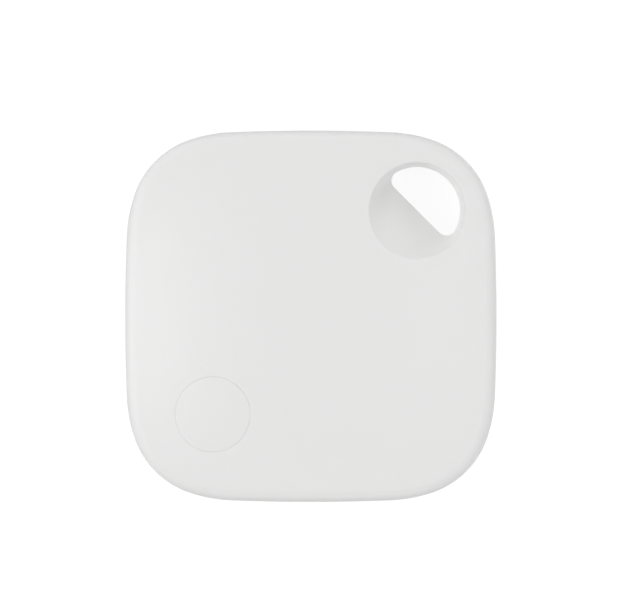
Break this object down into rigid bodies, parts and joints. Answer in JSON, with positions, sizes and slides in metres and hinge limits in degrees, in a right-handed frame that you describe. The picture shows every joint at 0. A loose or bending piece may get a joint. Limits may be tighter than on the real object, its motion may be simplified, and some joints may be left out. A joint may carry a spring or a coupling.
{
  "type": "bluetooth tracker tag",
  "caption": "Small rounded-square white key-finder tag with a keyring eye in one corner, a flush push button in the opposite corner, and a quarter-turn coin-cell door in its rear face.",
  "frame": {"origin": "middle of the rear face", "axes": "+Z out of the front face, +X to the right and +Y up when the tag is seen from the front with the keyring eye at the upper right"},
  "size_m": [0.038, 0.038, 0.008],
  "materials": {
    "case_white": "fine matt texture",
    "button_white": "fine matt texture",
    "door_white": "fine matt texture",
    "seal_rubber": "soft matt",
    "pale_silicone": "soft matt",
    "door_foam": "open-cell foam",
    "frame_plastic": "moulded, fine texture",
    "screw_steel": "zinc plated",
    "board_green": "solder mask",
    "package_black": "moulded epoxy",
    "crystal_metal": "plated lid",
    "antenna_ceramic": "fired, plated ends",
    "inductor_ferrite": "ferrite",
    "capacitor_ceramic": "fired, tinned ends",
    "resistor_film": "glazed, tinned ends",
    "gold_pads": "gold flash",
    "spring_bronze": "nickel flashed spring bronze",
    "sounder_brass": "rolled brass",
    "sounder_ceramic": "silvered electrode",
    "adhesive_black": "foam tape",
    "switch_black": "moulded",
    "tinned_steel": "tinned",
    "dome_steel": "bright spring steel",
    "plunger_red": "moulded",
    "cell_steel": "nickel plated",
    "cell_gasket": "natural polypropylene",
    "cathode_black": "pressed powder",
    "separator_white": "non-woven",
    "anode_lithium": "rolled lithium"
  },
  "bodies": {
    "case": {"front_shell": "case_white", "rear_shell": "case_white", "case_seal": "seal_rubber", "inner_frame": "frame_plastic", "frame_screws": "screw_steel", "circuit_board": "board_green", "bluetooth_chip": "package_black", "buzzer_driver": "package_black", "motion_sensor": "package_black", "main_crystal": "crystal_metal", "clock_crystal": "crystal_metal", "chip_antenna": "antenna_ceramic", "power_inductor": "inductor_ferrite", "capacitors": "capacitor_ceramic", "resistors": "resistor_film", "test_pads": "gold_pads", "negative_contact": "spring_bronze", "positive_contacts": "spring_bronze", "piezo_plate": "sounder_brass", "piezo_ceramic": "sounder_ceramic", "piezo_adhesive": "adhesive_black", "piezo_contacts": "spring_bronze", "switch_base": "switch_black", "switch_cover": "tinned_steel", "switch_terminals": "tinned_steel", "switch_dome": "dome_steel", "battery_can": "cell_steel", "battery_cap": "cell_steel", "battery_gasket": "cell_gasket", "battery_cathode": "cathode_black", "battery_separator": "separator_white", "battery_anode": "anode_lithium"},
    "button": {"button_cap": "button_white", "button_pad": "pale_silicone", "button_seal": "pale_silicone"},
    "plunger": {"switch_plunger": "plunger_red"},
    "door": {"battery_door": "door_white", "door_seal": "seal_rubber", "door_pad": "door_foam"}
  },
  "joints": [
    {"name": "button_press", "type": "slide", "parent": "case", "child": "button", "axis": [0, 0, -1], "range_m": [0, 0.0002], "stiffness_N_per_m": 4000},
    {"name": "switch_press", "type": "slide", "parent": "case", "child": "plunger", "axis": [0, 0, -1], "range_m": [0, 0.0002], "deforming": ["switch_dome"]},
    {"name": "door_turn", "type": "hinge", "parent": "case", "child": "door", "pos_m": [-0.0022, -0.0022, 0], "axis": [0, 0, -1], "range_deg": [0, 32]}
  ],
  "couplings": [
    {"joint": "switch_press", "follows": "button_press", "ratio": 1}
  ]
}
